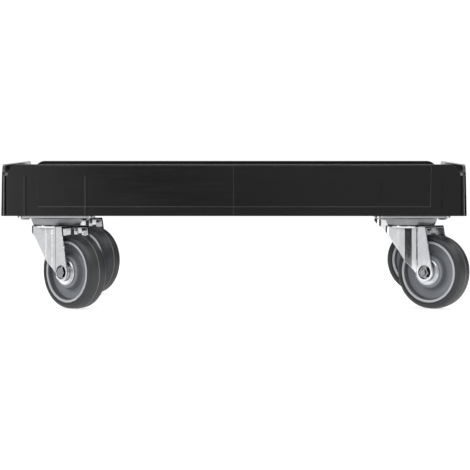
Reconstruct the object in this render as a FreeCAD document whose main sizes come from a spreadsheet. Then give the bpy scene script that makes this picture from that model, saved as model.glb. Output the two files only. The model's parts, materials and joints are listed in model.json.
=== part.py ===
import FreeCAD, Part
import math
import os

import Sketcher
from FreeCAD import Placement, Rotation, Vector

# Transport dolly for 600 x 400 mm containers: a moulded plastic frame on four
# swivel casters. Millimetres, +Z up, +X along the length, front at -Y. The
# origin is on the floor, under the middle of the frame.

doc = FreeCAD.newDocument("transport_dolly")

# --------------------------------------------------------------------------
# Driving dimensions
# --------------------------------------------------------------------------

DIMENSIONS = [
    # name, millimetres or degrees, what it is
    ("frame_length", 620, "outer length at the bottom edge"),
    ("frame_width", 420, "outer width at the bottom edge"),
    ("frame_bottom", 125.5, "height of the bottom edge above the floor"),
    ("frame_height", 68.8, "bottom edge to the top of the rim"),
    ("frame_draft", 1.2, "slope of the outer walls, degrees"),
    ("frame_corner", 9, "radius of the vertical corners"),
    ("wall", 3.5, "moulded wall thickness"),
    ("rib", 3, "rib thickness under the deck"),
    ("rib_depth", 22, "how far the window ribs hang below the deck"),
    ("rim_rise", 14.6, "rim above the load surface"),
    ("rim_round", 1.2, "rounding of the rim's top edges"),
    ("rim_bead", 2, "plain bead between a wall's panel and the top of the rim"),
    ("notch_radius", 16, "rounded end of the rim at each corner"),
    ("notch_gap", 9, "corner to the foot of the rim's rounded end"),
    ("panel_margin", 49, "corner to the recessed panel of a wall"),
    ("panel_rise", 12.4, "bottom edge to the recessed panel"),
    ("panel_depth", 1, "how deep the recessed panel is"),
    ("window_length", 146, "middle windows of the deck, along X"),
    ("window_width", 150, "middle windows of the deck, along Y"),
    ("window_pitch_x", 164, "spacing of the middle windows, along X"),
    ("window_pitch_y", 168, "spacing of the middle windows, along Y"),
    ("end_window_length", 100, "end windows of the deck, along X"),
    ("end_window_width", 172, "end windows of the deck, along Y"),
    ("end_window_centre", 231, "middle of the dolly to an end window"),
    ("window_corner", 10, "corner radius of the windows"),
    ("pin_x", 239.2, "middle of the dolly to a king pin, along X"),
    ("pin_y", 155, "middle of the dolly to a king pin, along Y"),
    ("seat_length", 104, "moulded seat of a caster plate, along X"),
    ("seat_width", 90, "moulded seat of a caster plate, along Y"),
    ("boss_diameter", 15, "screw bosses"),
    ("screw_diameter", 6.5, "screw shank"),
    ("screw_length", 28, "screw shank below its head"),
    ("screw_head_diameter", 13, "screw head"),
    ("screw_head_height", 2.6, "screw head"),
    ("fit", 0.05, "play round the screws and the bolt, radius"),
    ("hole_spacing_x", 80, "screw holes of a caster plate, along X"),
    ("hole_spacing_y", 60, "screw holes of a caster plate, along Y"),
    ("hole_diameter", 8.5, "screw holes of a caster plate"),
    ("plate_length", 100, "caster plate, along X"),
    ("plate_width", 85, "caster plate, along Y"),
    ("plate_thickness", 3, "caster plate"),
    ("plate_corner", 9, "corner radius of the caster plate"),
    ("sheet_metal", 2.5, "sheet of the fork"),
    ("crown_top", 111.5, "top of the fork's crown above the floor"),
    ("head_radius", 34.6, "rounded front of the fork, about the king pin"),
    ("cheek_half", 23.5, "middle of the fork to a cheek's outside"),
    ("strip_half", 24.5, "middle of the fork to a leg strip's outside"),
    ("strip_start", 23, "king pin to the fold of the leg strip"),
    ("cheek_bend", 9, "bend between a cheek and the rounded front"),
    ("valley_depth", 2.3, "valley between a cheek and the leg strip"),
    ("valley_floor", 7, "length of the valley's flat floor"),
    ("valley_run", 9.5, "length of the slope into the valley"),
    ("fold_slope", 35, "slope from the valley up to the leg strip, degrees"),
    ("nose_drop", 3, "top of the crown to the fork's front cut, at the nose"),
    ("knee_drop", 15, "top of the crown to the knee of the front cut"),
    ("knee_ahead", 19, "king pin to the knee of the front cut"),
    ("shin_drop", 47.5, "top of the crown to the lower bend of the front cut"),
    ("shin_behind", 4.5, "king pin to the lower bend of the front cut"),
    ("crown_round", 2.2, "rounded top edge of the crown"),
    ("leg_top", 36, "king pin to the leg's rear edge, at the crown"),
    ("leg_end_radius", 11.8, "rounded end of the leg about the axle"),
    ("leg_inside", 18.5, "middle of the fork to the axle dimple's inside"),
    ("dimple_diameter", 19, "pressed dimple around the axle"),
    ("boss_radius", 28.5, "raised ring of the crown"),
    ("boss_top", 116.5, "top of the crown's raised ring"),
    ("cup_top_radius", 35.4, "pressed cup under the plate, at its top"),
    ("cup_foot_radius", 32.4, "pressed cup under the plate, at its foot"),
    ("cup_foot", 112.7, "foot of the pressed cup above the floor"),
    ("pin_diameter", 12, "king pin"),
    ("upper_ball_diameter", 6, "upper row of balls"),
    ("upper_ball_circle", 23, "radius of the upper row"),
    ("upper_ball_height", 118, "centre height of the upper row"),
    ("lower_ball_diameter", 4.8, "lower row of balls"),
    ("lower_ball_circle", 15, "radius of the lower row"),
    ("lower_ball_height", 110.9, "centre height of the lower row"),
    ("trail", 35.3, "king pin to the axle, seen from above"),
    ("wheel_radius", 50, "outside of the tyre"),
    ("tread_width", 32, "tyre"),
    ("tyre_inside", 41.3, "radius where the tyre meets the rim"),
    ("rim_ring", 3.5, "bright ring of the wheel's rim"),
    ("rim_half", 14.6, "middle of the wheel to the rim's face"),
    ("web_half", 4.5, "half the thickness of the wheel's web"),
    ("shoulder_radius", 6.6, "rounded shoulder of the tyre"),
    ("mould_line", 0.2, "height of the fine ridge round the tread"),
    ("hub_radius", 21.5, "wheel hub"),
    ("hub_half", 16.6, "middle of the wheel to the hub's face"),
    ("bearing_bore", 8.6, "radius of the hub's bore"),
    ("roller_diameter", 2.5, "rollers of the wheel bearing"),
    ("sleeve_radius", 6, "axle sleeve"),
    ("axle_diameter", 8, "axle bolt"),
    ("axle_head", 13, "axle bolt's head and nut, across flats"),
    ("axle_head_height", 5.3, "axle bolt's head"),
    ("axle_nut_height", 6.5, "axle nut"),
    ("axle_tail", 2.5, "bolt thread beyond the nut"),
    ("guard_radius", 17.6, "thread guard disc"),
    ("guard_thickness", 1.5, "thread guard disc"),
    ("front_left_yaw", -44.3, "swivel of each caster, degrees from +X"),
    ("front_right_yaw", -34.8, "swivel of each caster, degrees from +X"),
    ("rear_left_yaw", -42, "swivel of each caster, degrees from +X"),
    ("rear_right_yaw", -12, "swivel of each caster, degrees from +X"),
]

sheet = doc.addObject("Spreadsheet::Sheet", "dims")
for row, (name, size, meaning) in enumerate(DIMENSIONS, start=1):
    sheet.set(f"A{row}", meaning)
    sheet.set(f"B{row}", str(size))
    sheet.setAlias(f"B{row}", name)
doc.recompute()


def number(expression):
    """The value that an expression on the sheet gives."""
    return float(sheet.evalExpression(expression))


def bind(feature, **sizes):
    """Bind properties of a feature to expressions on the sheet."""
    for name, expression in sizes.items():
        feature.setExpression(name, expression)


# --------------------------------------------------------------------------
# Sketches and features
# --------------------------------------------------------------------------


def new_body(label, placement=Placement()):
    """A PartDesign body, one sub-part, at its place."""
    body = doc.addObject("PartDesign::Body", label)
    body.Label = label
    body.Placement = placement
    return body


class Drawing:
    """A sketch on one of a body's own origin planes, lifted along its normal. Its
    points and radii are sheet expressions, held by constraints."""

    def __init__(self, body, plane, lift="0"):
        self.sketch = body.newObject("Sketcher::SketchObject", body.Label + "_sketch")
        support = [part for part in body.Origin.OriginFeatures if part.Role == plane][0]
        self.sketch.AttachmentSupport = [(support, "")]
        self.sketch.MapMode = "FlatFace"
        self.sketch.setExpression("AttachmentOffset.Base.z", lift)
        self.rules = []
        self.bindings = {}

    def hold(self, *rule, to):
        """Note a constraint whose size is a sheet expression."""
        self.bindings[len(self.rules)] = to
        self.rules.append(Sketcher.Constraint(*rule, number(to)))

    def hold_point(self, edge, end, across, up):
        """Hold a point at two sheet expressions from the origin."""
        self.hold("DistanceX", -1, 1, edge, end, to=across)
        self.hold("DistanceY", -1, 1, edge, end, to=up)

    def edge(self, start, end, arc):
        """A line, or an arc of (radius, side): side 1 bulges left of the way to end."""
        if arc is None:
            index = self.sketch.addGeometry(Part.LineSegment(start, end), False)
        else:
            radius = number(arc[0])
            chord = end - start
            left = Vector(-chord.y, chord.x, 0).normalize()
            sag = radius - math.sqrt(max(radius**2 - chord.Length**2 / 4, 0))
            middle = (start + end) * 0.5 + left * sag * arc[1]
            ends = (start, middle, end) if arc[1] < 0 else (end, middle, start)
            index = self.sketch.addGeometry(Part.Arc(*ends), False)
            self.hold("Radius", index, to=arc[0])
        forward = self.sketch.Geometry[index].StartPoint.distanceToPoint(start) < 1e-6
        return (index, 1, 2) if forward else (index, 2, 1)

    def outline(self, corners):
        """A closed outline. A corner is (across, up) or (across, up, (radius, side)):
        the arc, where given, leads from this corner to the next one."""
        places = [Vector(number(corner[0]), number(corner[1]), 0) for corner in corners]
        edges = []
        for index, corner in enumerate(corners):
            start, end = places[index], places[(index + 1) % len(corners)]
            edges.append(self.edge(start, end, corner[2] if len(corner) > 2 else None))
        for index, corner in enumerate(corners):
            edge, head, _ = edges[index]
            before, _, tail = edges[index - 1]
            self.rules.append(Sketcher.Constraint("Coincident", before, tail, edge, head))
            self.hold_point(edge, head, corner[0], corner[1])

    def circle(self, across, up, radius):
        """A circle whose centre and radius are sheet expressions."""
        centre = Vector(number(across), number(up), 0)
        shape = Part.Circle(centre, Vector(0, 0, 1), number(radius))
        edge = self.sketch.addGeometry(shape, False)
        self.hold("Radius", edge, to=radius)
        self.hold_point(edge, 3, across, up)

    def rectangle(self, across, up, length, width):
        """A rectangle about a centre."""
        left, right = f"{across} - ({length}) / 2", f"{across} + ({length}) / 2"
        low, high = f"{up} - ({width}) / 2", f"{up} + ({width}) / 2"
        self.outline([(left, low), (right, low), (right, high), (left, high)])

    def rounded_box(self, across, up, length, width, corner):
        """A rectangle with rounded corners about a centre."""
        corners = []
        for sign_x, sign_y in ((1, 1), (-1, 1), (-1, -1), (1, -1)):
            outer_x = f"{across} + {sign_x} * ({length}) / 2"
            outer_y = f"{up} + {sign_y} * ({width}) / 2"
            on_side = (outer_x, f"{outer_y} - {sign_y} * ({corner})")
            on_end = (f"{outer_x} - {sign_x} * ({corner})", outer_y)
            first, second = (on_side, on_end) if sign_x == sign_y else (on_end, on_side)
            corners += [(*first, (corner, -1)), second]
        self.outline(corners)

    def settle(self):
        """Add the constraints and their expressions, and return the sketch."""
        offset = self.sketch.ConstraintCount
        self.sketch.addConstraint(self.rules)
        for index, expression in self.bindings.items():
            self.sketch.setExpression(f"Constraints[{offset + index}]", expression)
        return self.sketch


def pad(body, drawing, length, **options):
    """Add the drawing's outline, extruded along the sketch's normal."""
    feature = body.newObject("PartDesign::Pad", body.Label + "_pad")
    feature.Profile = drawing.settle()
    bind(feature, Length=length)
    for name, setting in options.items():
        setattr(feature, name, setting)
    doc.recompute()
    return feature


def pocket(body, drawing, length=None, reverse=False, both=False):
    """Cut the drawing's outline, to a depth or through everything, and check it cuts."""
    before = body.Shape.Volume
    feature = body.newObject("PartDesign::Pocket", body.Label + "_pocket")
    feature.Profile = drawing.settle()
    if length is None:
        feature.Type = "ThroughAll"
    else:
        bind(feature, Length=length)
    feature.Reversed = reverse
    feature.Midplane = both
    doc.recompute()
    if not body.Shape.Volume < before - 1e-3:
        raise RuntimeError(f"{feature.Name} cuts nothing from {body.Label}")
    return feature


def revolve(body, drawing, cut=False):
    """Revolve a drawing on the XZ plane about the body's own Z axis."""
    kind = "Groove" if cut else "Revolution"
    before = body.Shape.Volume if cut else 0
    feature = body.newObject(f"PartDesign::{kind}", f"{body.Label}_{kind.lower()}")
    feature.Profile = drawing.settle()
    feature.ReferenceAxis = (drawing.sketch, ["V_Axis"])
    feature.Angle = 360
    doc.recompute()
    if cut and not body.Shape.Volume < before - 1e-3:
        raise RuntimeError(f"{feature.Name} cuts nothing from {body.Label}")
    return feature


def spin(body, corners, cut=False):
    """Revolve an outline of (radius, height) corners about the body's own Z axis."""
    drawing = Drawing(body, "XZ_Plane")
    drawing.outline(corners)
    return revolve(body, drawing, cut)


def fillet(body, radius, wanted):
    """Round the body's edges that pass a test."""
    base = body.Tip
    edges = enumerate(base.Shape.Edges, start=1)
    names = [f"Edge{index}" for index, edge in edges if wanted(edge)]
    feature = body.newObject("PartDesign::Fillet", body.Label + "_fillet")
    feature.Base = (base, names)
    bind(feature, Radius=radius)
    doc.recompute()
    return feature


# --------------------------------------------------------------------------
# Frame
# --------------------------------------------------------------------------

SIDES = (-1, 1)
DECK_TOP = "(dims.frame_bottom + dims.frame_height - dims.rim_rise)"
RIM_TOP = "(dims.frame_bottom + dims.frame_height)"
DECK_UNDERSIDE = f"({DECK_TOP} - dims.wall)"
DRAFT_INSET = "(dims.frame_height * tan(dims.frame_draft))"
INSIDE_LENGTH = f"(dims.frame_length - 2 * {DRAFT_INSET} - 2 * dims.wall)"
INSIDE_WIDTH = f"(dims.frame_width - 2 * {DRAFT_INSET} - 2 * dims.wall)"
WINDOWS = [
    (f"{sx} * dims.window_pitch_x / 2", f"{sy} * dims.window_pitch_y / 2",
     "dims.window_length", "dims.window_width")
    for sx in SIDES for sy in SIDES
] + [
    (f"{sx} * dims.end_window_centre", "0", "dims.end_window_length", "dims.end_window_width")
    for sx in SIDES
]
CORNERS = [(f"{sx} * dims.pin_x", f"{sy} * dims.pin_y") for sx in SIDES for sy in SIDES]
SCREWS = [
    (f"{px} + {sx} * dims.hole_spacing_x / 2", f"{py} + {sy} * dims.hole_spacing_y / 2")
    for px, py in CORNERS for sx in SIDES for sy in SIDES
]


def rim_notches(body, plane, size, depth_from):
    """Cut the rim away at both ends of one wall, leaving a rounded end. The cut
    starts outside the wall and stops in line with the foot of the other rim."""
    shoulder = f"({size} / 2 - dims.notch_gap - dims.notch_radius)"
    drop = "(dims.notch_radius - dims.rim_rise)"
    landing = f"({shoulder} + sqrt(dims.notch_radius * dims.notch_radius - {drop} * {drop}))"
    above = f"({RIM_TOP} + dims.wall)"
    for side in SIDES:
        sketch = Drawing(body, plane, f"{side} * {depth_from} / 2")
        for sign in SIDES:
            sketch.outline([
                (f"{sign} * {shoulder}", RIM_TOP, ("dims.notch_radius", sign)),
                (f"{sign} * {landing}", DECK_TOP),
                (f"{sign} * {size}", DECK_TOP),
                (f"{sign} * {size}", above),
                (f"{sign} * {shoulder}", above),
            ])
        pocket(body, sketch, "dims.notch_gap", reverse=side < 0)


def wall_panels(body):
    """The shallow panel in each outer wall, cut parallel to the sloped wall."""
    lift = "dims.frame_bottom + dims.panel_rise"
    skin = "(dims.panel_rise * tan(dims.frame_draft) + dims.panel_depth)"
    sketch = Drawing(body, "XY_Plane", lift)
    for side in SIDES:
        middle = f"{side} * (dims.frame_width / 2)"
        sketch.rectangle("0", middle, "dims.frame_length - 2 * dims.panel_margin", f"2 * {skin}")
        middle = f"{side} * (dims.frame_length / 2)"
        sketch.rectangle(middle, "0", f"2 * {skin}", "dims.frame_width - 2 * dims.panel_margin")
    height = "dims.frame_height - dims.panel_rise - dims.rim_bead"
    cut = pocket(body, sketch, height, reverse=True)
    bind(cut, TaperAngle="dims.frame_draft")
    doc.recompute()


def window(drawing, place, grow="0"):
    """The outline of one deck window, or of the rib round it."""
    across, up, length, width = place
    drawing.rounded_box(across, up, f"{length} + 2 * ({grow})", f"{width} + 2 * ({grow})",
                        f"dims.window_corner + ({grow})")


def deck_ribs(body):
    """Ribs round the windows, and struts from them to the outer walls."""
    foot = f"{DECK_UNDERSIDE} - dims.rib_depth"
    for place in WINDOWS:
        hoop = Drawing(body, "XY_Plane", foot)
        window(hoop, place, "dims.rib")
        window(hoop, place)
        pad(body, hoop, "dims.rib_depth + dims.wall / 2")

    struts = Drawing(body, "XY_Plane", foot)
    inner = "(dims.window_pitch_y / 2 + dims.window_width / 2 + dims.rib / 2)"
    outer = f"({INSIDE_WIDTH} / 2 + dims.wall / 4)"
    for side in SIDES:
        for place in (-1, 0, 1):
            struts.rectangle(f"{place} * dims.window_pitch_x / 2",
                             f"{side} * ({inner} + {outer}) / 2",
                             "dims.rib", f"{outer} - {inner}")
        struts.rectangle(f"{side} * dims.window_pitch_x / 2", "0", "dims.rib",
                         "dims.window_pitch_y - dims.window_width - dims.rib")
    pad(body, struts, "dims.rib_depth + dims.wall / 2")


def caster_seats(body):
    """The deep rib boxes, webs and screw bosses that the caster plates stand on."""
    height = f"{DECK_UNDERSIDE} - dims.frame_bottom + dims.wall / 2"
    for across, up in CORNERS:
        box = Drawing(body, "XY_Plane", "dims.frame_bottom")
        box.rounded_box(across, up, "dims.seat_length", "dims.seat_width", "dims.window_corner")
        box.rounded_box(across, up, "dims.seat_length - 2 * dims.rib",
                        "dims.seat_width - 2 * dims.rib", "dims.window_corner - dims.rib")
        pad(body, box, height)
    webs = Drawing(body, "XY_Plane", "dims.frame_bottom")
    crosswebs = Drawing(body, "XY_Plane", "dims.frame_bottom")
    for across, up in CORNERS:
        for side in SIDES:
            webs.rectangle(f"{across} + {side} * dims.hole_spacing_x / 2", up,
                           "dims.rib", "dims.seat_width - dims.rib")
            crosswebs.rectangle(across, f"{up} + {side} * dims.hole_spacing_y / 2",
                                "dims.seat_length - dims.rib", "dims.rib")
    pad(body, webs, height)
    pad(body, crosswebs, height)

    bosses = Drawing(body, "XY_Plane", "dims.frame_bottom")
    holes = Drawing(body, "XY_Plane", "dims.frame_bottom")
    for across, up in SCREWS:
        bosses.circle(across, up, "dims.boss_diameter / 2")
        holes.circle(across, up, "dims.screw_diameter / 2 + dims.fit")
    pad(body, bosses, height)
    pocket(body, holes, "dims.screw_length - dims.plate_thickness + 1", reverse=True)


def make_deck():
    """One moulding: sloped outer walls, load deck with windows, rim, ribs,
    caster seats and screw bosses."""
    body = new_body("deck")
    outside = Drawing(body, "XY_Plane", "dims.frame_bottom")
    outside.rounded_box("0", "0", "dims.frame_length", "dims.frame_width", "dims.frame_corner")
    walls = pad(body, outside, "dims.frame_height")
    bind(walls, TaperAngle="-dims.frame_draft")
    doc.recompute()

    top = number(RIM_TOP) - 1e-3
    fillet(body, "dims.rim_round", lambda edge: edge.BoundBox.ZMin > top)

    inside = Drawing(body, "XY_Plane", RIM_TOP)
    inside.rounded_box("0", "0", INSIDE_LENGTH, INSIDE_WIDTH, "dims.frame_corner - dims.wall")
    pocket(body, inside, "dims.rim_rise")
    within = number(INSIDE_LENGTH) / 2 + 1e-3
    fillet(body, "dims.rim_round",
           lambda edge: edge.BoundBox.ZMin > top and edge.BoundBox.XMax < within)

    wall_panels(body)
    rim_notches(body, "XZ_Plane", "dims.frame_length", "dims.frame_width")
    rim_notches(body, "YZ_Plane", "dims.frame_width", "dims.frame_length")

    hollow = Drawing(body, "XY_Plane", "dims.frame_bottom")
    hollow.rounded_box("0", "0", INSIDE_LENGTH, INSIDE_WIDTH, "dims.frame_corner - dims.wall")
    pocket(body, hollow, f"{DECK_UNDERSIDE} - dims.frame_bottom", reverse=True)

    for place in WINDOWS:
        hole = Drawing(body, "XY_Plane", DECK_TOP)
        window(hole, place)
        pocket(body, hole, "2 * dims.wall")

    deck_ribs(body)
    caster_seats(body)


# --------------------------------------------------------------------------
# Fasteners
# --------------------------------------------------------------------------


def make_screws():
    """The sixteen plate screws, driven from below: round flanged head and shank."""
    head = "dims.screw_head_diameter / 2"
    shank = "dims.screw_diameter / 2"
    crown = f"({head} - dims.screw_head_height * 0.6)"
    under = "(dims.frame_bottom - dims.plate_thickness)"
    pattern = doc.addObject("PartDesign::Body", "screw_pattern")
    spin(pattern, [
        ("0", f"{under} - dims.screw_head_height + 1.2"),
        ("dims.screw_head_height * 0.5", f"{under} - dims.screw_head_height + 1.2"),
        ("dims.screw_head_height * 0.5 + 0.7", f"{under} - dims.screw_head_height"),
        (crown, f"{under} - dims.screw_head_height"),
        (head, f"{under} - dims.screw_head_height * 0.35"),
        (head, under),
        (shank, under),
        (shank, f"{under} + dims.screw_length - 2"),
        ("dims.screw_diameter / 5", f"{under} + dims.screw_length"),
        ("0", f"{under} + dims.screw_length"),
    ])
    screws = doc.addObject("Part::Feature", "plate_screws")
    screws.Label = "plate_screws"
    screws.Shape = Part.makeCompound([
        pattern.Shape.translated(Vector(number(across), number(up), 0))
        for across, up in SCREWS
    ])


# --------------------------------------------------------------------------
# Casters. Each is built with its king pin on Z, its axle behind it on +X, and
# the floor at zero height, then set in its place and turned to its yaw.
# --------------------------------------------------------------------------

PLATE_TOP = "dims.frame_bottom"
PLATE_UNDER = "(dims.frame_bottom - dims.plate_thickness)"
CROWN_UNDER = "(dims.crown_top - dims.sheet_metal - 0.5)"
RING_UNDER = "(dims.boss_top - dims.sheet_metal - 1)"
PIN = "(dims.pin_diameter / 2)"
PIN_CLEARANCE = f"({PIN} + 1)"
CUP_DISC = "(dims.upper_ball_height + dims.upper_ball_diameter / 4)"


def make_top_plate(label, place):
    """Plate with rounded corners, four screw holes and a seat for the king pin."""
    body = new_body(label, place)
    plate = Drawing(body, "XY_Plane", PLATE_UNDER)
    plate.rounded_box("0", "0", "dims.plate_length", "dims.plate_width", "dims.plate_corner")
    pad(body, plate, "dims.plate_thickness")
    holes = Drawing(body, "XY_Plane", PLATE_UNDER)
    for side_x in SIDES:
        for side_y in SIDES:
            holes.circle(f"{side_x} * dims.hole_spacing_x / 2",
                         f"{side_y} * dims.hole_spacing_y / 2", "dims.hole_diameter / 2")
    holes.circle("0", "0", f"{PIN} + dims.fit")
    pocket(body, holes, "dims.plate_thickness", reverse=True)
    seat = Drawing(body, "XY_Plane", PLATE_TOP)
    seat.circle("0", "0", f"{PIN} + 3 + dims.fit")
    pocket(body, seat, "dims.plate_thickness / 2")


def make_upper_race(label, place):
    """Pressed cup under the plate: a disc with the upper ball groove, and a skirt
    that narrows downwards."""
    body = new_body(label, place)
    spin(body, [
        (f"{PIN} + dims.fit", CUP_DISC),
        ("dims.cup_foot_radius - 0.2", CUP_DISC),
        ("dims.cup_foot_radius - 2", "dims.cup_foot"),
        ("dims.cup_foot_radius", "dims.cup_foot", ("3", 1)),
        ("dims.cup_foot_radius + 0.6", "dims.cup_foot + 2"),
        ("dims.cup_top_radius", f"{PLATE_UNDER} - 1.2", ("1.2", 1)),
        ("dims.cup_top_radius - 1", PLATE_UNDER),
        (f"{PIN} + dims.fit", PLATE_UNDER),
    ])
    ball_groove(body, "dims.upper_ball_circle", "dims.upper_ball_height",
                "dims.upper_ball_diameter")


def ball_groove(body, circle_radius, height, diameter):
    """Cut the round groove of a ball row, a little larger than the balls."""
    ring = Drawing(body, "XZ_Plane")
    ring.circle(circle_radius, height, f"{diameter} / 2 + dims.fit")
    revolve(body, ring, cut=True)


def make_king_pin(label, place):
    """Riveted pin: a head sunk in the plate and a formed head under the lower race."""
    body = new_body(label, place)
    under = "(dims.lower_ball_height - dims.lower_ball_diameter / 2 - 1.5)"
    spin(body, [
        ("0", f"{under} - 4.2"),
        (f"{PIN} + 1.5", f"{under} - 4.2", ("4", 1)),
        (f"{PIN} + 4", f"{under} - 1.2"),
        (f"{PIN} + 4", under),
        (PIN, under),
        (PIN, f"{PLATE_TOP} - dims.plate_thickness / 2"),
        (f"{PIN} + 3", f"{PLATE_TOP} - dims.plate_thickness / 2"),
        (f"{PIN} + 3", f"{PLATE_TOP} - 0.2"),
        ("0", f"{PLATE_TOP} - 0.2"),
    ])


def make_lower_race(label, place):
    """Disc on the king pin that the lower ball row runs on."""
    body = new_body(label, place)
    under = "(dims.lower_ball_height - dims.lower_ball_diameter / 2 - 1.5)"
    spin(body, [
        (f"{PIN} + dims.fit", under),
        ("dims.lower_ball_circle + 4", under),
        ("dims.lower_ball_circle + 5", f"{under} + 1"),
        ("dims.lower_ball_circle + 5", f"{under} + 2.6"),
        (f"{PIN} + dims.fit", f"{under} + 2.6"),
    ])
    ball_groove(body, "dims.lower_ball_circle", "dims.lower_ball_height",
                "dims.lower_ball_diameter")


def make_balls(label, place):
    """Both rows of balls, each ball a solid of its own."""
    balls = []
    for row in ("upper", "lower"):
        radius = number(f"dims.{row}_ball_diameter / 2")
        orbit = number(f"dims.{row}_ball_circle")
        height = number(f"dims.{row}_ball_height")
        count = int(2 * math.pi * orbit / (2.25 * radius))
        for index in range(count):
            turn = 2 * math.pi * index / count
            centre = Vector(orbit * math.cos(turn), orbit * math.sin(turn), height)
            balls.append(Part.makeSphere(radius, centre))
    feature = doc.addObject("Part::Feature", label)
    feature.Label = label
    feature.Shape = Part.makeCompound(balls)
    feature.Placement = place


def make_dust_seal(label, place):
    """Thin ring on the crown that closes the gap under the cup's skirt."""
    body = new_body(label, place)
    spin(body, [
        ("dims.boss_radius + dims.fit", "dims.crown_top"),
        ("dims.cup_foot_radius - 0.8", "dims.crown_top"),
        ("dims.cup_foot_radius - 0.8", "dims.crown_top + 0.7"),
        ("dims.boss_radius + 1.2", "dims.crown_top + 0.9"),
        ("dims.boss_radius + 1.2", "dims.crown_top + 3"),
        ("dims.boss_radius + dims.fit", "dims.crown_top + 3"),
    ])


def fork_outline(drawing, sheet_offset, rear):
    """The fork seen from above, its outside or, one sheet further in, its inside:
    straight leg strips, a fold in to a shallow valley, a straight cheek, a bend, and
    the round front about the king pin."""
    strip = f"(dims.strip_half - {sheet_offset})"
    cheek = f"(dims.cheek_half - {sheet_offset})"
    valley = f"({cheek} - dims.valley_depth)"
    bend = f"(dims.cheek_bend - {sheet_offset})"
    front = f"(dims.head_radius - {sheet_offset})"
    bend_y = "(dims.cheek_half - dims.cheek_bend)"
    reach = "(dims.head_radius - dims.cheek_bend)"
    bend_x = f"sqrt({reach} * {reach} - {bend_y} * {bend_y})"
    on_front = (f"-{bend_x} * {front} / {reach}", f"{bend_y} * {front} / {reach}")
    fold = "((dims.strip_half - dims.cheek_half + dims.valley_depth) / tan(dims.fold_slope))"
    valley_rear = f"dims.strip_start - {fold} / 2"
    valley_front = f"{valley_rear} - dims.valley_floor"
    slope_front = f"{valley_front} - dims.valley_run"
    near = [
        (rear, f"-{strip}"),
        (f"dims.strip_start + {fold} / 2", f"-{strip}"),
        (valley_rear, f"-{valley}"),
        (valley_front, f"-{valley}"),
        (slope_front, f"-{cheek}"),
        (f"-{bend_x}", f"-{cheek}", (bend, 1)),
        (on_front[0], f"-{on_front[1]}", (front, 1)),
    ]
    far = [
        (on_front[0], on_front[1], (bend, 1)),
        (f"-{bend_x}", cheek),
        (slope_front, cheek),
        (valley_front, valley),
        (valley_rear, valley),
        (f"dims.strip_start + {fold} / 2", strip),
        (rear, strip),
    ]
    drawing.outline(near + far)


def tangent_point(across, up, side):
    """Where a line from a point touches the leg's rounded end about the axle."""
    run, rise = f"(dims.trail - ({across}))", f"(dims.wheel_radius - ({up}))"
    reach = f"sqrt({run} * {run} + {rise} * {rise})"
    along = f"(dims.leg_end_radius * dims.leg_end_radius / {reach})"
    off = f"(dims.leg_end_radius * sqrt(1 - pow(dims.leg_end_radius / {reach}; 2)))"
    return (
        f"dims.trail - {along} * {run} / {reach} - {side} * {off} * {rise} / {reach}",
        f"dims.wheel_radius - {along} * {rise} / {reach} + {side} * {off} * {run} / {reach}",
    )


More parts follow.
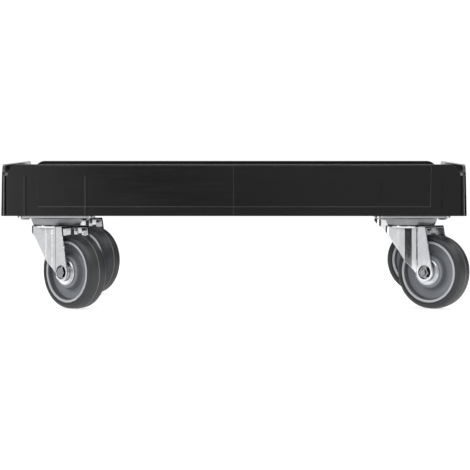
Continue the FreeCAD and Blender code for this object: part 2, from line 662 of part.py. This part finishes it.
def make_fork(label, place):
    """Pressed fork: crown with a raised ring, rounded front, and two legs whose
    flat strips end round the axle in a pressed dimple."""
    body = new_body(label, place)
    foot = "(dims.wheel_radius - dims.leg_end_radius - 1)"
    rear = "(dims.trail + dims.leg_end_radius + 2)"
    outside = Drawing(body, "XY_Plane", foot)
    fork_outline(outside, "0", rear)
    pad(body, outside, f"dims.crown_top - {foot}")
    edge_height = number("dims.crown_top") - 1e-3
    rear_face = number(rear) - 1e-3
    fillet(body, "dims.crown_round",
           lambda edge: edge.BoundBox.ZMin > edge_height and edge.BoundBox.XMin < rear_face)

    inside = Drawing(body, "XY_Plane", foot)
    fork_outline(inside, "dims.sheet_metal", f"({rear} + 2)")
    pocket(body, inside, f"{CROWN_UNDER} - {foot}", reverse=True)

    nose = ("-dims.head_radius - 1", "dims.crown_top - dims.nose_drop")
    knee = ("-dims.knee_ahead", "dims.crown_top - dims.knee_drop")
    shin = ("dims.shin_behind", "dims.crown_top - dims.shin_drop")
    heel = ("dims.leg_top", "dims.crown_top")
    side = Drawing(body, "XZ_Plane")
    far, high, low = f"({rear} + 5)", "(dims.crown_top + 1)", f"({foot} - 1)"
    side.outline([
        nose,
        knee,
        shin,
        (*tangent_point(*shin, -1), ("dims.leg_end_radius", -1)),
        tangent_point(*heel, 1),
        heel,
        ("dims.leg_top", high),
        (far, high),
        (far, low),
        ("-dims.head_radius - 5", low),
        ("-dims.head_radius - 5", nose[1]),
    ])
    pocket(body, side, both=True)

    spin(body, [
        (PIN_CLEARANCE, CROWN_UNDER),
        ("dims.boss_radius - 1", CROWN_UNDER),
        ("dims.boss_radius", "dims.crown_top - 1"),
        ("dims.boss_radius", "dims.boss_top - 1", ("1", 1)),
        ("dims.boss_radius - 1", "dims.boss_top"),
        (PIN_CLEARANCE, "dims.boss_top"),
    ])
    cavity = "(dims.lower_ball_circle + 8)"
    spin(body, [
        (PIN_CLEARANCE, f"{CROWN_UNDER} - 1"),
        (cavity, f"{CROWN_UNDER} - 1"),
        (cavity, RING_UNDER),
        (PIN_CLEARANCE, RING_UNDER),
    ], cut=True)
    spin(body, [
        ("0", f"{CROWN_UNDER} - 1"),
        (PIN_CLEARANCE, f"{CROWN_UNDER} - 1"),
        (PIN_CLEARANCE, "dims.boss_top + 1"),
        ("0", "dims.boss_top + 1"),
    ], cut=True)
    ball_groove(body, "dims.upper_ball_circle", "dims.upper_ball_height",
                "dims.upper_ball_diameter")
    ball_groove(body, "dims.lower_ball_circle", "dims.lower_ball_height",
                "dims.lower_ball_diameter")

    for hand in SIDES:
        bulge = Drawing(body, "XZ_Plane", f"{hand} * dims.leg_inside")
        bulge.circle("dims.trail", "dims.wheel_radius", "dims.dimple_diameter / 2 + 2")
        grow = pad(body, bulge, "dims.strip_half - dims.leg_inside - dims.sheet_metal / 2")
        grow.Reversed = hand < 0
        doc.recompute()
        dimple = Drawing(body, "XZ_Plane", f"{hand} * dims.strip_half")
        dimple.circle("dims.trail", "dims.wheel_radius", "dims.dimple_diameter / 2")
        depth = "dims.strip_half - dims.leg_inside - dims.sheet_metal"
        pocket(body, dimple, depth, reverse=hand < 0)
    axle_hole = Drawing(body, "XZ_Plane")
    axle_hole.circle("dims.trail", "dims.wheel_radius", "dims.axle_diameter / 2 + dims.fit")
    pocket(body, axle_hole, both=True)


def hexagon(drawing, across_flats):
    """A hexagon about the origin."""
    corners = []
    for index in range(6):
        turn = f"{60 * index}"
        corners.append((f"{across_flats} / sqrt(3) * cos({turn})",
                        f"{across_flats} / sqrt(3) * sin({turn})"))
    drawing.outline(corners)


def make_axle_bolt(label, place):
    """Hexagon bolt along Z: its head below, against the dimple, its thread above."""
    body = new_body(label, place)
    face = "(dims.leg_inside + dims.sheet_metal)"
    head = Drawing(body, "XY_Plane", f"-{face} - dims.axle_head_height")
    hexagon(head, "dims.axle_head")
    pad(body, head, "dims.axle_head_height")
    tail = f"({face} + dims.axle_nut_height + dims.axle_tail)"
    spin(body, [
        ("0", f"-{face} - 1"),
        ("dims.axle_diameter / 2", f"-{face} - 1"),
        ("dims.axle_diameter / 2", f"{tail} - 0.8"),
        ("dims.axle_diameter / 2 - 0.8", tail),
        ("0", tail),
    ])
    chamfer_hexagon(body, f"-{face} - dims.axle_head_height", f"-{face}", 1)


def chamfer_hexagon(body, low, high, side):
    """Turn a hexagon's corners down to a cone at one end, or at both."""
    tip = "(dims.axle_head / 2)"
    outer = "(dims.axle_head)"
    slope = "(dims.axle_head * 0.29)"
    spin(body, [
        (f"{tip} - 0.3", low),
        (outer, f"{low} + {slope} + 0.3 * 0.58"),
        (outer, f"{low} - 1"),
        (f"{tip} - 0.3", f"{low} - 1"),
    ], cut=True)
    if side > 1:
        spin(body, [
            (f"{tip} - 0.3", high),
            (outer, f"{high} - {slope} - 0.3 * 0.58"),
            (outer, f"{high} + 1"),
            (f"{tip} - 0.3", f"{high} + 1"),
        ], cut=True)


def make_axle_nut(label, place):
    """Hexagon nut on the bolt's thread."""
    body = new_body(label, place)
    face = "(dims.leg_inside + dims.sheet_metal)"
    block = Drawing(body, "XY_Plane", face)
    hexagon(block, "dims.axle_head")
    pad(body, block, "dims.axle_nut_height")
    chamfer_hexagon(body, face, f"{face} + dims.axle_nut_height", 2)
    bore = Drawing(body, "XY_Plane", face)
    bore.circle("0", "0", "dims.axle_diameter / 2 + dims.fit")
    pocket(body, bore, "dims.axle_nut_height", reverse=True)


def make_sleeve(label, place):
    """Tube that the bolt clamps between the thread guards."""
    body = new_body(label, place)
    half = "(dims.leg_inside - dims.guard_thickness)"
    spin(body, [
        ("dims.axle_diameter / 2 + dims.fit", f"-{half}"),
        ("dims.sleeve_radius", f"-{half}"),
        ("dims.sleeve_radius", half),
        ("dims.axle_diameter / 2 + dims.fit", half),
    ])


def make_guards(label, place):
    """Two discs beside the hub that keep threads out of the bearing."""
    pattern = doc.addObject("PartDesign::Body", label + "_pattern")
    outer = "dims.leg_inside"
    inner = "(dims.leg_inside - dims.guard_thickness)"
    spin(pattern, [
        ("dims.axle_diameter / 2 + dims.fit", inner),
        ("dims.guard_radius - 1.5", inner),
        ("dims.guard_radius", f"{inner} - 1.2"),
        ("dims.guard_radius", f"{inner} - 0.2", ("1.4", 1)),
        ("dims.guard_radius - 1.3", outer),
        ("dims.axle_diameter / 2 + dims.fit", outer),
    ])
    flipped = pattern.Shape.mirror(Vector(), Vector(0, 0, 1))
    guards = doc.addObject("Part::Feature", label)
    guards.Label = label
    guards.Shape = Part.makeCompound([pattern.Shape, flipped])
    guards.Placement = place


def mirrored_profile(half):
    """A wheel profile from its half above the middle plane: outwards over the far
    side, then back along the near side. An arc keeps its radius and its side."""
    near = []
    for index in range(len(half) - 1, -1, -1):
        radius, height = half[index][0], half[index][1]
        arc = half[index - 1][2:] if index > 0 else ()
        near.append((radius, f"-({height})", *arc))
    return half + near


def make_rim(label, place):
    """Moulded wheel body: hub, dished web and rim with a bevelled ring at its face."""
    body = new_body(label, place)
    ring = "(dims.tyre_inside - dims.rim_ring)"
    spin(body, mirrored_profile([
        ("dims.bearing_bore", "dims.hub_half"),
        ("dims.hub_radius - 6", "dims.hub_half"),
        ("dims.hub_radius - 5", "dims.hub_half - 1.4"),
        ("dims.hub_radius - 1", "dims.hub_half - 1.8"),
        ("dims.hub_radius", "dims.hub_half - 3", ("12", -1)),
        ("dims.hub_radius + 5", "dims.web_half", ("40", 1)),
        (f"{ring} - 3", "dims.web_half + 1.2", ("6", -1)),
        (f"{ring} - 0.6", "dims.rim_half - 3"),
        (ring, "dims.rim_half - 0.4"),
        (f"{ring} + 0.4", "dims.rim_half"),
        ("dims.tyre_inside - 0.4", "dims.rim_half"),
        ("dims.tyre_inside", "dims.rim_half - 0.4"),
    ]))


def make_tyre(label, place):
    """Rubber tyre: flat side, rounded shoulder, slightly crowned tread with a fine
    mould line round its middle."""
    body = new_body(label, place)
    half = "(dims.tread_width / 2)"
    tread = "(dims.wheel_radius - dims.mould_line)"
    spin(body, mirrored_profile([
        ("dims.tyre_inside", f"{half} - 1.6"),
        ("dims.tyre_inside + 0.8", f"{half} - 0.5", ("9", 1)),
        ("dims.tyre_inside + 2.4", half, ("dims.shoulder_radius", 1)),
        (f"{tread} - 0.9", f"{half} - 5.6", ("60", 1)),
        (tread, "dims.mould_line + 0.3"),
        ("dims.wheel_radius", "dims.mould_line"),
    ]))


def make_bearing(label, place):
    """Rollers of the wheel bearing and their cage, separate solids."""
    half = number("dims.hub_half - 1.2")
    radius = number("dims.roller_diameter / 2 - dims.fit / 2")
    orbit = number("(dims.sleeve_radius + dims.bearing_bore) / 2")
    count = int(2 * math.pi * orbit / (2.9 * radius))
    step = 2 * math.pi / count
    length = 2 * half - 4
    low = Vector(0, 0, -length / 2)
    rollers = [
        Part.makeCylinder(radius, length, low + Vector(orbit * math.cos(index * step),
                                                       orbit * math.sin(index * step), 0))
        for index in range(count)
    ]
    inner, outer = orbit - 0.75 * radius, orbit + 0.75 * radius
    ring = Part.makeCylinder(outer, 1.8).cut(Part.makeCylinder(inner, 1.8))
    rings = [ring.translated(Vector(0, 0, length / 2 + 0.1)),
             ring.translated(Vector(0, 0, -length / 2 - 1.9))]
    feature = doc.addObject("Part::Feature", label)
    feature.Label = label
    feature.Shape = Part.makeCompound(rollers + rings)
    feature.Placement = place


def make_caster(name, side_x, side_y, flip):
    """One caster. flip turns the axle bolt end for end."""
    stand = Vector(side_x * number("dims.pin_x"), side_y * number("dims.pin_y"), 0)
    fixed = Placement(stand, Rotation())
    swivel = Placement(stand, Rotation(Vector(0, 0, 1), number(f"dims.{name}_yaw")))
    axle_at = Vector(number("dims.trail"), 0, number("dims.wheel_radius"))
    axle = swivel * Placement(axle_at, Rotation(Vector(1, 0, 0), -90))
    bolt = swivel * Placement(axle_at, Rotation(Vector(1, 0, 0), 90 if flip else -90))
    make_top_plate(f"{name}_top_plate", fixed)
    make_upper_race(f"{name}_upper_race", fixed)
    make_king_pin(f"{name}_king_pin", fixed)
    make_lower_race(f"{name}_lower_race", fixed)
    make_balls(f"{name}_swivel_balls", swivel)
    make_dust_seal(f"{name}_dust_seal", swivel)
    make_fork(f"{name}_fork", swivel)
    make_axle_bolt(f"{name}_axle_bolt", bolt)
    make_axle_nut(f"{name}_axle_nut", bolt)
    make_sleeve(f"{name}_axle_sleeve", axle)
    make_guards(f"{name}_thread_guards", axle)
    make_rim(f"{name}_wheel_rim", axle)
    make_tyre(f"{name}_tyre", axle)
    make_bearing(f"{name}_wheel_bearing", axle)


CASTERS = [
    ("front_left", -1, -1, False),
    ("front_right", 1, -1, True),
    ("rear_left", -1, 1, False),
    ("rear_right", 1, 1, True),
]


make_deck()
make_screws()
for caster in CASTERS:
    make_caster(*caster)
doc.recompute()

# --------------------------------------------------------------------------
# Checks and export
# --------------------------------------------------------------------------

for item in doc.Objects:
    if "Invalid" in item.State or "Error" in item.State:
        raise RuntimeError(f"{item.Label} did not recompute: {item.State}")

os.makedirs("parts", exist_ok=True)
for item in doc.Objects:
    if item.TypeId not in ("PartDesign::Body", "Part::Feature") or item.Label.endswith("_pattern"):
        continue
    if item.Shape.isNull() or not item.Shape.isValid():
        raise RuntimeError(f"{item.Label} has no valid shape")
    item.Shape.exportStep(f"parts/{item.Label}.step")
    print(f"{item.Label}: {len(item.Shape.Solids)} solids, {item.Shape.Volume:.0f} mm3")
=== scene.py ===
import json
import math

import bpy
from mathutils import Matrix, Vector

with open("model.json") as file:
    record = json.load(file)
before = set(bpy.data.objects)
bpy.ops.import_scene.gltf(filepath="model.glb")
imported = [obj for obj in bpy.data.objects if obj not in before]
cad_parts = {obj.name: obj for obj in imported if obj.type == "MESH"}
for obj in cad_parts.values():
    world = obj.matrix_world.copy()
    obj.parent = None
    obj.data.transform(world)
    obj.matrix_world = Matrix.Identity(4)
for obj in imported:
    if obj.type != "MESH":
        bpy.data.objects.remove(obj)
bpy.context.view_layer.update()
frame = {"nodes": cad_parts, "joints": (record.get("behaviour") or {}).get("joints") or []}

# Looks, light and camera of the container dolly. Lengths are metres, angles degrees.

CASTERS = ("front_left", "front_right", "rear_left", "rear_right")
JOINTS = {joint["name"]: joint for joint in frame["joints"]}


# --------------------------------------------------------------------------
# Node trees
# --------------------------------------------------------------------------

class Nodes:
    """Adds nodes to one tree."""

    def __init__(self, tree):
        self.tree = tree

    def add(self, kind, inputs=None, **settings):
        """A node with its settings, and its inputs given as constants or sockets."""
        node = self.tree.nodes.new(kind)
        for key, value in settings.items():
            setattr(node, key, value)
        for key, value in (inputs or {}).items():
            if isinstance(value, bpy.types.NodeSocket):
                self.tree.links.new(value, node.inputs[key])
            else:
                node.inputs[key].default_value = value
        return node

    def calc(self, operation, *values):
        """The result of one arithmetic step."""
        return self.add("ShaderNodeMath", dict(enumerate(values)), operation=operation).outputs[0]

    def spread(self, value, low, high, start=0.0, end=1.0, **settings):
        """Maps low..high of a value to start..end."""
        node = self.add(
            "ShaderNodeMapRange",
            {"Value": value, "From Min": low, "From Max": high, "To Min": start, "To Max": end},
            **settings,
        )
        return node.outputs[0]


class Finish(Nodes):
    """A node material on one Principled shader, patterned in object space."""

    def __init__(self, name, **constants):
        self.material = bpy.data.materials.new(name)
        self.material.use_nodes = True
        super().__init__(self.material.node_tree)
        self.shader = self.tree.nodes["Principled BSDF"]
        for socket, value in constants.items():
            self.shader.inputs[socket.replace("_", " ")].default_value = value
        self.place = self.add("ShaderNodeTexCoord").outputs["Object"]
        self.normal = None

    def noise(self, size, detail=3.0, stretch=None, roughness=0.5):
        """Noise from 0 to 1 whose blobs are about `size` across, in streaks if the
        object's space is scaled per axis by `stretch`."""
        place = self.place
        if stretch:
            place = self.add("ShaderNodeMapping", {"Vector": place, "Scale": stretch}).outputs[0]
        node = self.add(
            "ShaderNodeTexNoise",
            {"Vector": place, "Scale": 1.0 / size, "Detail": detail, "Roughness": roughness},
        )
        return node.outputs[0]

    def mix(self, factor, first, second):
        """A colour between two colours."""
        colours = {0: factor, 6: first, 7: second}
        return self.add("ShaderNodeMix", colours, data_type="RGBA").outputs[2]

    def axis(self, name):
        """One coordinate of the object."""
        return self.add("ShaderNodeSeparateXYZ", {"Vector": self.place}).outputs[name]

    def rounded(self, radius):
        """The normal with sharp edges rounded by a radius."""
        return self.add("ShaderNodeBevel", {"Radius": radius}, samples=6).outputs[0]

    def soften(self, radius):
        """Rounds the look of sharp edges, under any relief added later."""
        self.normal = self.rounded(radius)

    def edges(self, radius):
        """Nought on flat areas, up to one along edges, over a radius."""
        true = self.add("ShaderNodeNewGeometry").outputs["Normal"]
        match = self.add("ShaderNodeVectorMath", {0: self.rounded(radius), 1: true},
                         operation="DOT_PRODUCT")
        return self.spread(match.outputs["Value"], 0.98, 0.8)

    def paint_corner_shade(self, colour, reach, depth):
        """Paints shade into a colour: darkens it down to `depth` of it in corners closer than
        `reach`.
        """
        closed = self.add("ShaderNodeAmbientOcclusion", {"Distance": reach}, samples=8)
        share = self.spread(closed.outputs["AO"], 0.35, 0.95, depth, 1.0)
        return self.add("ShaderNodeVectorMath", {0: colour, "Scale": share},
                        operation="SCALE").outputs[0]

    def off_axis(self, centre, axis):
        """Distances from a wheel's axle line, and along it from the wheel's middle plane."""
        arm = self.add("ShaderNodeVectorMath", {0: self.place, 1: centre},
                       operation="SUBTRACT").outputs[0]
        across = self.add("ShaderNodeVectorMath", {0: arm, 1: axis},
                          operation="CROSS_PRODUCT").outputs[0]
        radius = self.add("ShaderNodeVectorMath", {0: across}, operation="LENGTH")
        along = self.add("ShaderNodeVectorMath", {0: arm, 1: axis}, operation="DOT_PRODUCT")
        return radius.outputs["Value"], self.calc("ABSOLUTE", along.outputs["Value"])

    def band(self, value, low, high, edge):
        """One between low and high, fading to nought over `edge` outside them."""
        rise = self.spread(value, low - edge, low)
        fall = self.spread(value, high, high + edge, 1.0, 0.0)
        return self.calc("MULTIPLY", rise, fall)

    def line(self, offset, half_width, strength=1.0):
        """`strength` where an offset is nought, fading to nothing `half_width` away."""
        return self.spread(self.calc("ABSOLUTE", offset), 0.0, half_width, strength, 0.0)

    def bump(self, height, distance, strength=1.0):
        """Adds relief: `distance` for a height of one."""
        inputs = {"Height": height, "Distance": distance, "Strength": strength}
        if self.normal:
            inputs["Normal"] = self.normal
        self.normal = self.add("ShaderNodeBump", inputs).outputs[0]

    def finish(self, colour, roughness):
        """Links the patterns to the shader and gives the material."""
        patterns = {"Base Color": colour, "Roughness": roughness, "Normal": self.normal}
        for name, value in patterns.items():
            self.tree.links.new(value, self.shader.inputs[name])
        return self.material


# --------------------------------------------------------------------------
# Materials
# --------------------------------------------------------------------------

def grey(level, blue=0.0):
    """A grey, cooler or warmer by `blue`."""
    return (level * (1 - blue), level * (1 - blue * 0.3), level * (1 + blue), 1.0)


# Ribs and webs behind the frame's long walls leave faint sinks on them: the axis
# that the sinks are placed along, their places, half a sink's width and its strength.
SINKS = (
    ("X", (-0.2775, -0.1967, 0.1967, 0.2775), 0.0022, 1.0),
    ("Z", (0.1775, 0.1560), 0.0018, 0.6),
)
# Heights over which the sinks fade out, and over which the painted highlights on the edges grow
# stronger.
SINKS_END = (0.1775, 0.1790)
EDGE_HIGHLIGHT_START = (0.135, 0.180)
# Distances from the frame's long middle plane over which a face counts as a long wall.
LONG_WALL = (0.200, 0.203)
PARTING_HALF_WIDTH = 0.0007


def black_abs():
    """Satin black moulded ABS: faint sinks along the ribs behind the long walls, a
    parting line in the middle, fine rub marks, and painted highlights on the edges, in patches,
    that fade lower down."""
    look = Finish("black_abs", Specular_IOR_Level=0.5)
    look.soften(0.0008)
    flow = look.noise(0.09, 4.0, stretch=(0.5, 0.5, 1.6))
    grain = look.noise(0.0011, 2.0)
    rub = look.noise(0.012, 6.0, stretch=(0.25, 0.25, 3.0), roughness=0.7)
    patches = look.spread(look.noise(0.05, 3.0), 0.35, 0.65, 0.1, 1.0)
    # Painted highlights along the edges, in patches, stronger higher up.
    edge_highlight = look.calc("MULTIPLY", look.edges(0.0011), patches)
    edge_highlight = look.calc("MULTIPLY", edge_highlight, look.spread(look.axis("Z"), *EDGE_HIGHLIGHT_START, 0.3, 0.9))
    colour = look.mix(flow, grey(0.0022, 0.03), grey(0.0036, 0.02))
    colour = look.mix(look.spread(rub, 0.6, 0.85, 0.0, 0.35), colour, grey(0.012, 0.02))
    colour = look.mix(edge_highlight, colour, grey(0.09))
    rough = look.calc("ADD", look.spread(flow, 0.3, 0.7, 0.12, 0.17),
                      look.spread(rub, 0.45, 0.8, 0.0, 0.06))

    lines = 0.0
    for axis, places, half_width, strength in SINKS:
        for place in places:
            offset = look.calc("SUBTRACT", look.axis(axis), place)
            lines = look.calc("ADD", look.line(offset, half_width, strength), lines)
    lines = look.calc("MULTIPLY", lines, look.spread(look.axis("Z"), *SINKS_END, 1.0, 0.0))
    lines = look.calc("ADD", look.line(look.axis("X"), PARTING_HALF_WIDTH), lines)
    on_wall = look.spread(look.calc("ABSOLUTE", look.axis("Y")), *LONG_WALL)
    look.bump(look.calc("MULTIPLY", lines, on_wall), 0.00010)
    look.bump(flow, 0.0006, 0.3)
    look.bump(grain, 0.00002, 0.5)
    return look.finish(colour, rough)


def zinc(name, level, roughness, ripple, ripple_size, dull=0.0, shadow=0.35, reach=0.006):
    """Zinc-plated steel: cloudy brightness, a slightly rippled sheet, fine drawing marks,
    and painted shade that darkens corners closer than `reach` down to `shadow`."""
    look = Finish(name, Metallic=1.0)
    look.soften(0.0005)
    cloud = look.noise(0.014, 5.0, roughness=0.6)
    spots = look.noise(0.0022)
    marks = look.noise(0.0009, 2.0, stretch=(1.0, 1.0, 0.08))
    colour = look.mix(look.spread(cloud, 0.3, 0.75), grey(level, 0.012), grey(level * 0.86, 0.035))
    colour = look.mix(look.spread(spots, 0.56, 0.8, 0.0, 0.45), colour, grey(level * 0.7, 0.02))
    # Painted shade in the corners.
    colour = look.paint_corner_shade(colour, reach, shadow)
    rough = look.calc("ADD", look.spread(cloud, 0.25, 0.75, roughness, roughness + 0.07),
                      look.spread(marks, 0.3, 0.7, 0.0, 0.04 + dull))
    look.bump(look.noise(ripple_size, 2.0, stretch=(1.0, 1.0, 0.4)), ripple)
    look.bump(marks, 0.00002, 0.5)
    return look.finish(colour, rough)


# Radii on a wheel: the painted shade at the tyre's foot fades out, its tread sets in, and the
# # rim's ring with a painted highlight lies between its two.
TYRE_FOOT_SHADE = (0.0413, 0.0445)
TREAD = (0.0485, 0.0495)
RIM_RING_HIGHLIGHT = (0.0380, 0.0420)
# Painted shade in the grooves on the rim: inner and outer radius, width of the soft edge, tone.
RIM_GROOVE_SHADES = (
    (0.0362, 0.0373, 0.0006, 0.45),
    (0.0222, 0.0236, 0.0015, 0.6),
)
# Distances from a wheel's middle plane over which the tyre's mould line fades out and
# the rim's side sets in.
MOULD_LINE = (0.0002, 0.0008)
RIM_SIDE = (0.0125, 0.0140)


def rubber(name, level, roughness, grain, wheel=None):
    """Moulded rubber with a dry bloom and fine grain. A tyre also has a pale mould
    line round the middle of its tread and painted shade at its foot, next to the rim."""
    look = Finish(name, Specular_IOR_Level=0.5)
    bloom = look.noise(0.012, 5.0, roughness=0.65)
    dust = look.noise(0.0013)
    colour = look.mix(look.spread(bloom, 0.3, 0.75), grey(level * 0.85, 0.12),
                      grey(level * 1.2, 0.09))
    colour = look.mix(look.spread(dust, 0.6, 0.85, 0.0, 0.4), colour, grey(level * 1.8, -0.03))
    if wheel:
        radius, along = look.off_axis(*wheel)
        # Painted shade at the tyre's foot, next to the rim.
        foot_shade = look.spread(radius, *TYRE_FOOT_SHADE, 0.8, 0.0)
        colour = look.mix(foot_shade, colour, grey(level * 0.35, 0.04))
        line = look.calc("MULTIPLY", look.spread(along, *MOULD_LINE, 1.0, 0.0),
                         look.spread(radius, *TREAD))
        line = look.calc("MULTIPLY", line, look.spread(bloom, 0.3, 0.6, 0.55, 1.0))
        colour = look.mix(line, colour, (0.24, 0.20, 0.155, 1.0))
    rough = look.spread(bloom, 0.3, 0.7, roughness, roughness + 0.12)
    look.bump(dust, grain, 0.5)
    look.bump(bloom, 0.0001, 0.4)
    return look.finish(colour, rough)


def moulded(name, level, blue, roughness, wheel=None):
    """Fine-grained moulded nylon with faint flow marks. A wheel's rim has a painted
    highlight on its outer ring, and painted shade in a groove inside it and in another round the
    hub."""
    look = Finish(name, Specular_IOR_Level=0.45)
    flow = look.noise(0.02, 4.0)
    speck = look.noise(0.0012, 2.0)
    colour = look.mix(look.spread(flow, 0.3, 0.7), grey(level * 0.93, blue),
                      grey(level * 1.07, blue))
    colour = look.mix(look.spread(speck, 0.6, 0.8, 0.0, 0.3), colour, grey(level * 1.35, blue))
    if wheel:
        radius, along = look.off_axis(*wheel)
        # Painted shade in the rim's grooves.
        for low, high, edge, tone in RIM_GROOVE_SHADES:
            groove_shade = look.band(radius, low, high, edge)
            colour = look.mix(groove_shade, colour, grey(level * tone, blue))
        # Painted highlight on the rim's outer ring, on its side.
        ring_highlight = look.calc("MULTIPLY", look.band(radius, *RIM_RING_HIGHLIGHT, 0.0004),
                         look.spread(along, *RIM_SIDE))
        colour = look.mix(ring_highlight, colour, grey(level * 1.9, blue * 0.5))
    rough = look.spread(flow, 0.3, 0.7, roughness, roughness + 0.1)
    look.bump(speck, 0.00003, 0.5)
    look.bump(flow, 0.0002, 0.3)
    return look.finish(colour, rough)


ZINC_LOOKS = {
    "zinc_plate": dict(level=0.72, roughness=0.24, ripple=0.00008, ripple_size=0.02),
    "zinc_race": dict(level=0.3, roughness=0.42, ripple=0.00006, ripple_size=0.01, dull=0.1),
    "ball_steel": dict(level=0.6, roughness=0.12, ripple=0.000005, ripple_size=0.004),
    "zinc_fork": dict(level=0.78, roughness=0.03, ripple=0.00016, ripple_size=0.02),
    # The fastener's low level and deep shadow paint the shade of the dimple round the axle into
    # the nut.
    "zinc_fastener": dict(level=0.3, roughness=0.08, ripple=0.00003, ripple_size=0.003,
                          shadow=0.12),
    # The guard's deep shadow over a short reach is a painted shadow arc under the fork leg.
    "zinc_guard": dict(level=0.76, roughness=0.3, ripple=0.00006, ripple_size=0.01,
                       shadow=0.05, reach=0.0022),
}
FINISHES = {name: zinc(name, **look) for name, look in ZINC_LOOKS.items()}
FINISHES["black_abs"] = black_abs()
FINISHES["seal_rubber"] = rubber("seal_rubber", 0.012, 0.5, 0.00003)
FINISHES["bearing_plastic"] = moulded("bearing_plastic", 0.5, -0.02, 0.4)
for caster in CASTERS:
    roll = JOINTS[caster + "_wheel_roll"]
    wheel = (tuple(roll["pos_m"]), tuple(roll["axis"]))
    FINISHES[caster, "wheel_plastic"] = moulded(caster + "_nylon", 0.22, 0.07, 0.46, wheel)
    FINISHES[caster, "tyre_rubber"] = rubber(caster + "_rubber", 0.022, 0.42, 0.00005, wheel)

for name, node in frame["nodes"].items():
    caster = "_".join(name.split("_")[:2])
    for slot in node.material_slots:
        known = slot.material.name.split(".")[0]
        slot.material = FINISHES.get((caster, known)) or FINISHES[known]


# --------------------------------------------------------------------------
# Studio
# --------------------------------------------------------------------------

# Soft panels round the object: azimuth from straight in front, to the left, half the
# panel's width, width of its soft edge, radiance.
PANELS = (
    (59, 3, 2, 0.5),
    (66, 3, 3, 0.68),
    (74, 5, 3, 1.0),
    (91, 8, 4, 0.8),
    (104, 3, 4, 0.5),
    (15, 9, 3, 1.1),
    (-10, 8, 6, 0.42),
    (-58, 16, 8, 0.5),
    (180, 10, 5, 0.8),
)
# Narrow bright strips, in the same terms, that are full up to STRIP_REACH above and
# below the horizon and gone at twice that. Heights here are the sine of the elevation.
STRIPS = (
    (81, 3, 3, 6.0),
    (-78, 3, 3, 6.0),
)
STRIP_REACH = 0.1
# The overhead light fades in between two heights, and to a share of itself at the zenith.
OVERHEAD = 2.6
OVERHEAD_START = (0.5, 0.75)
ZENITH_START = (0.84, 0.95)
ZENITH_SHARE = 0.4
# Radiance of the dark room between the panels, and of the white that the camera sees.
ROOM = 0.045
BACKDROP = 1.05

FLOOR_REACH = 0.95
FLOOR_SIDES = 96
FLOOR_GLOW = 0.74
FLOOR_LEVEL = 0.4

CAMERA_PLACE = (0.0235, -3.51, 0.2352)
CAMERA_DIP = 2.34
CAMERA_TURN = 0.38
CAMERA_LENS = 190.4
CAMERA_SENSOR = 36.0


def studio_light():
    """White where the camera looks past the object, soft panels in its reflections."""
    world = bpy.data.worlds.new("studio")
    bpy.context.scene.world = world
    world.use_nodes = True
    world.node_tree.nodes.clear()
    sky = Nodes(world.node_tree)
    direction = sky.add("ShaderNodeTexCoord").outputs["Generated"]
    east, north, up = sky.add("ShaderNodeSeparateXYZ", {0: direction}).outputs
    bearing = sky.calc("ARCTAN2", sky.calc("MULTIPLY", east, -1.0),
                       sky.calc("MULTIPLY", north, -1.0))

    def fade(value, *limits):
        return sky.spread(value, *limits, interpolation_type="SMOOTHSTEP")

    def panel(azimuth, half, edge, radiance):
        turned = sky.calc("SUBTRACT", bearing, math.radians(azimuth))
        away = sky.calc("ABSOLUTE", sky.calc("WRAP", turned, math.pi, -math.pi))
        return fade(away, math.radians(half), math.radians(half + edge), radiance, 0.0)

    total = ROOM
    for place in PANELS:
        total = sky.calc("ADD", panel(*place), total)
    level = fade(sky.calc("ABSOLUTE", up), STRIP_REACH, 2 * STRIP_REACH, 1.0, 0.0)
    for place in STRIPS:
        total = sky.calc("ADD", sky.calc("MULTIPLY", panel(*place), level), total)
    overhead = sky.calc("MULTIPLY", fade(up, *OVERHEAD_START, 0.0, OVERHEAD),
                        fade(up, *ZENITH_START, 1.0, ZENITH_SHARE))
    total = sky.calc("ADD", total, overhead)
    camera_ray = sky.add("ShaderNodeLightPath").outputs["Is Camera Ray"]
    strength = sky.spread(camera_ray, 0.0, 1.0, total, BACKDROP)
    background = sky.add("ShaderNodeBackground", {"Color": (1, 1, 1, 1), "Strength": strength})
    sky.add("ShaderNodeOutputWorld", {"Surface": background.outputs[0]})


def soft_box(name, where, target, size, power):
    """A rectangular light that faces a target."""
    light = bpy.data.lights.new(name, "AREA")
    light.shape = "RECTANGLE"
    light.size, light.size_y = size
    light.energy = power
    holder = bpy.data.objects.new(name, light)
    bpy.context.scene.collection.objects.link(holder)
    holder.location = where
    holder.rotation_euler = (Vector(target) - Vector(where)).to_track_quat("-Z", "Y").to_euler()


def floor():
    """A round plain white table."""
    mesh = bpy.data.meshes.new("floor")
    turns = [2 * math.pi * step / FLOOR_SIDES for step in range(FLOOR_SIDES)]
    edge = [(FLOOR_REACH * math.cos(turn), FLOOR_REACH * math.sin(turn), 0) for turn in turns]
    mesh.from_pydata(edge, [], [range(FLOOR_SIDES)])
    piece = bpy.data.objects.new("floor", mesh)
    bpy.context.scene.collection.objects.link(piece)
    look = Finish("floor_white", Base_Color=grey(FLOOR_LEVEL), Roughness=1.0,
                  Specular_IOR_Level=0.0, Emission_Color=(1, 1, 1, 1),
                  Emission_Strength=FLOOR_GLOW)
    mesh.materials.append(look.material)


def camera():
    """A long lens in front of the dolly, almost level."""
    data = bpy.data.cameras.new("camera")
    data.lens = CAMERA_LENS
    data.sensor_width = CAMERA_SENSOR
    data.clip_start, data.clip_end = 0.1, 200.0
    holder = bpy.data.objects.new("camera", data)
    bpy.context.scene.collection.objects.link(holder)
    holder.location = CAMERA_PLACE
    holder.rotation_euler = (math.radians(90 - CAMERA_DIP), 0.0, math.radians(CAMERA_TURN))
    bpy.context.scene.camera = holder


studio_light()
soft_box("key", where=(0.3, -0.6, 2.6), target=(0, 0, 0), size=(3.0, 2.0), power=4.0)
floor()
camera()
bpy.context.scene.view_settings.view_transform = "Standard"
